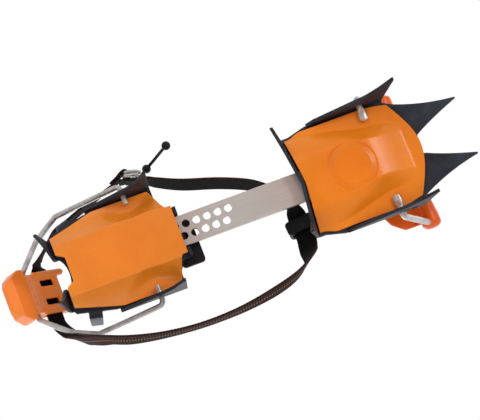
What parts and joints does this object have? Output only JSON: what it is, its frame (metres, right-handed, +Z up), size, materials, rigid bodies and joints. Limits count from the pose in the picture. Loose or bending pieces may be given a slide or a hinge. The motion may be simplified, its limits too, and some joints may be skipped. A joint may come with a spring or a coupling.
{
  "type": "automatic crampon",
  "caption": "Step-in crampon: steel front and heel frames with points on an adjustable bar, moulded underside plates, toe hoop, heel clip lever and ankle strap.",
  "frame": {"origin": "on the ground under the middle of the crampon without its strap, between the point tips", "axes": "+X towards the toe, +Y to the wearer's left, +Z up; the point tips stand on Z = 0"},
  "size_m": [0.368, 0.1498, 0.0903],
  "materials": {
    "dark_steel": "dark blue-grey coated sheet steel",
    "bright_steel": "bare drawn steel wire and pins",
    "brushed_bar": "bare rolled spring steel",
    "orange_plate": "satin moulded flexible plastic",
    "clip_orange": "satin moulded plastic",
    "red_orange": "satin moulded flexible plastic",
    "black_plastic": "satin moulded plastic",
    "webbing": "black woven webbing with a thin orange centre thread",
    "black_cord": "black braided cord"
  },
  "bodies": {
    "front": {"front_frame": "dark_steel", "front_antiball_plate": "orange_plate", "bar_hinge_pin": "bright_steel"},
    "toe_bail": {"toe_bail_wire": "bright_steel", "toe_bail_cover": "red_orange"},
    "bar": {"link_bar": "brushed_bar"},
    "heel": {"heel_frame": "dark_steel", "heel_antiball_plate": "orange_plate", "bar_guide": "dark_steel", "guide_rivets": "bright_steel", "lock_pivot_pin": "bright_steel", "lock_spring": "bright_steel", "strap_near": "webbing", "strap_far": "webbing", "strap_front": "webbing", "buckle_ring_a": "bright_steel", "buckle_ring_b": "bright_steel", "strap_keeper": "black_plastic", "pull_ring": "bright_steel", "pull_cord": "black_cord", "pull_cord_ball": "black_plastic", "pull_cord_toggle": "black_plastic"},
    "lock": {"lock_lever": "black_plastic", "lock_pin": "dark_steel"},
    "heel_bail": {"heel_bail_wire": "bright_steel"},
    "clip": {"heel_lever": "clip_orange", "strap_lever": "webbing"}
  },
  "joints": [
    {"name": "toe_bail_hinge", "type": "hinge", "parent": "front", "child": "toe_bail", "pos_m": [0.1145, 0, 0.032], "axis": [0, 1, 0], "range_deg": [-50, 35]},
    {"name": "bar_hinge", "type": "hinge", "parent": "front", "child": "bar", "pos_m": [0.065, 0, 0.0329], "axis": [0, 1, 0], "range_deg": [-2.5, 2.5]},
    {"name": "length_slide", "type": "slide", "parent": "bar", "child": "heel", "axis": [1, 0, 0], "range_m": [-0.0336, 0.0168]},
    {"name": "lock_hinge", "type": "hinge", "parent": "heel", "child": "lock", "pos_m": [-0.068, 0, 0.0437], "axis": [0, 1, 0], "range_deg": [-12, 0], "stiffness_Nm_per_rad": 0.05, "springref_deg": 11.46, "deforming": ["lock_spring"]},
    {"name": "heel_bail_hinge", "type": "hinge", "parent": "heel", "child": "heel_bail", "pos_m": [-0.076, 0, 0.032], "axis": [0, 1, 0], "range_deg": [-8, 65], "deforming": ["strap_near", "strap_far", "strap_front", "pull_cord"]},
    {"name": "clip_hinge", "type": "hinge", "parent": "heel_bail", "child": "clip", "pos_m": [-0.1655, 0, 0.068], "axis": [0, 1, 0], "range_deg": [-45, 70], "deforming": ["strap_lever"]}
  ]
}
